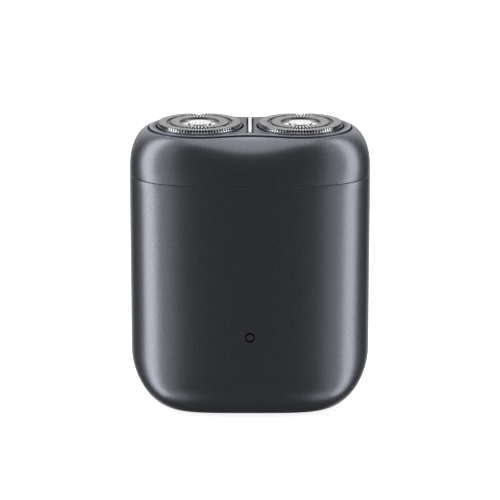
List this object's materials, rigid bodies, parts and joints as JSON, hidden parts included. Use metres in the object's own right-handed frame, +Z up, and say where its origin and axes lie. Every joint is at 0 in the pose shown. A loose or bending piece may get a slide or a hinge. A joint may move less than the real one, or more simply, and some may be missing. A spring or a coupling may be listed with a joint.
{
  "type": "rotary electric shaver",
  "caption": "Pocket rotary shaver: rounded casing, lift-off head unit with round slotted shaving heads that float and tilt, geared drive, push button and charging socket.",
  "frame": {"origin": "middle of the flat base", "axes": "+Z up through the heads, +X to the right seen from the front, -Y towards the front with the button"},
  "size_m": [0.068, 0.04, 0.0818],
  "materials": {
    "graphite_coat": "satin metallic graphite coating",
    "plate_grey": "satin blue-grey coating",
    "black_plastic": "matt black",
    "dark_plastic": "matt dark grey",
    "white_plastic": "natural acetal",
    "blade_steel": "fine brushed",
    "polished_steel": "polished",
    "spring_steel": "plain",
    "zinc_steel": "bright zinc plate",
    "brass": "machined",
    "silicone": "matt",
    "board": "solder mask",
    "cell_wrap": "heat-shrink sleeve",
    "red_wire": "insulation",
    "light_guide": "dark translucent"
  },
  "bodies": {
    "housing": {"body_shell": "graphite_coat", "button_seal": "silicone", "main_board": "board", "tact_switch": "zinc_steel", "status_led": "white_plastic", "usb_receptacle": "zinc_steel", "port_gasket": "silicone", "usb_board": "board", "motor_can": "zinc_steel", "motor_end_cap": "black_plastic", "motor_screw_front": "zinc_steel", "motor_screw_rear": "zinc_steel", "spindle_bush_left": "brass", "spindle_bush_right": "brass", "lip_seal_left": "silicone", "lip_seal_right": "silicone", "chassis": "dark_plastic", "battery_cell": "cell_wrap", "battery_lead_positive": "red_wire", "battery_lead_negative": "black_plastic", "deck": "black_plastic", "deck_seal": "silicone", "deck_screw_left": "zinc_steel", "deck_screw_right": "zinc_steel", "magnet_front": "polished_steel", "magnet_rear": "polished_steel"},
    "button": {"button_cap": "graphite_coat", "light_ring": "light_guide"},
    "rotor": {"motor_rotor": "spring_steel", "pinion": "brass"},
    "spindle_left": {"drive_gear_left": "white_plastic", "spindle_shaft_left": "spring_steel", "cap_spring_left": "spring_steel"},
    "spindle_right": {"drive_gear_right": "white_plastic", "spindle_shaft_right": "spring_steel", "cap_spring_right": "spring_steel"},
    "coupler_left": {"drive_cap_left": "white_plastic"},
    "coupler_right": {"drive_cap_right": "white_plastic"},
    "head_unit": {"head_shell": "graphite_coat", "top_plate": "plate_grey", "centre_strip": "polished_steel", "plate_frame": "black_plastic", "retainer_frame": "black_plastic", "frame_screw_front": "zinc_steel", "frame_screw_rear": "zinc_steel", "strike_disc_front": "zinc_steel", "strike_disc_rear": "zinc_steel", "wave_spring_left": "spring_steel", "wave_spring_right": "spring_steel"},
    "float_left": {"carrier_left": "black_plastic"},
    "float_right": {"carrier_right": "black_plastic"},
    "shaving_head_left": {"guard_left": "blade_steel", "centre_disc_left": "polished_steel"},
    "shaving_head_right": {"guard_right": "blade_steel", "centre_disc_right": "polished_steel"},
    "blades_left": {"cutter_left": "blade_steel", "cutter_hub_left": "white_plastic"},
    "blades_right": {"cutter_right": "blade_steel", "cutter_hub_right": "white_plastic"}
  },
  "joints": [
    {"name": "button_press", "type": "slide", "parent": "housing", "child": "button", "axis": [0, 1, 0], "range_m": [0, 0.00035], "stiffness_N_per_m": 1500, "springref_m": -0.0002},
    {"name": "motor_spin", "type": "hinge", "parent": "housing", "child": "rotor", "pos_m": [0, 0, 0.04], "axis": [0, 0, 1], "continuous": true},
    {"name": "head_lift", "type": "slide", "parent": "housing", "child": "head_unit", "axis": [0, 0, 1], "range_m": [0, 0.03]},
    {"name": "spindle_spin_left", "type": "hinge", "parent": "housing", "child": "spindle_left", "pos_m": [-0.01425, 0, 0.058], "axis": [0, 0, 1], "continuous": true},
    {"name": "coupler_slide_left", "type": "slide", "parent": "spindle_left", "child": "coupler_left", "axis": [0, 0, -1], "range_m": [0, 0.001], "deforming": ["cap_spring_left"]},
    {"name": "float_left", "type": "slide", "parent": "head_unit", "child": "float_left", "axis": [0, 0, -1], "range_m": [0, 0.001], "stiffness_N_per_m": 1200, "springref_m": -0.0005, "deforming": ["wave_spring_left"]},
    {"name": "tilt_left", "type": "hinge", "parent": "float_left", "child": "shaving_head_left", "pos_m": [-0.01425, 0, 0.078], "axis": [0, 1, 0], "range_deg": [-3, 3], "stiffness_Nm_per_rad": 0.05},
    {"name": "blade_spin_left", "type": "hinge", "parent": "shaving_head_left", "child": "blades_left", "pos_m": [-0.01425, 0, 0.079], "axis": [0, 0, 1], "continuous": true},
    {"name": "spindle_spin_right", "type": "hinge", "parent": "housing", "child": "spindle_right", "pos_m": [0.01425, 0, 0.058], "axis": [0, 0, 1], "continuous": true},
    {"name": "coupler_slide_right", "type": "slide", "parent": "spindle_right", "child": "coupler_right", "axis": [0, 0, -1], "range_m": [0, 0.001], "deforming": ["cap_spring_right"]},
    {"name": "float_right", "type": "slide", "parent": "head_unit", "child": "float_right", "axis": [0, 0, -1], "range_m": [0, 0.001], "stiffness_N_per_m": 1200, "springref_m": -0.0005, "deforming": ["wave_spring_right"]},
    {"name": "tilt_right", "type": "hinge", "parent": "float_right", "child": "shaving_head_right", "pos_m": [0.01425, 0, 0.078], "axis": [0, 1, 0], "range_deg": [-3, 3], "stiffness_Nm_per_rad": 0.05},
    {"name": "blade_spin_right", "type": "hinge", "parent": "shaving_head_right", "child": "blades_right", "pos_m": [0.01425, 0, 0.079], "axis": [0, 0, 1], "continuous": true}
  ],
  "couplings": [
    {"joint": "spindle_spin_left", "follows": "motor_spin", "ratio": -0.46154},
    {"joint": "blade_spin_left", "follows": "motor_spin", "ratio": -0.46154},
    {"joint": "coupler_slide_left", "follows": "float_left", "ratio": 1},
    {"joint": "spindle_spin_right", "follows": "motor_spin", "ratio": -0.46154},
    {"joint": "blade_spin_right", "follows": "motor_spin", "ratio": -0.46154},
    {"joint": "coupler_slide_right", "follows": "float_right", "ratio": 1}
  ]
}
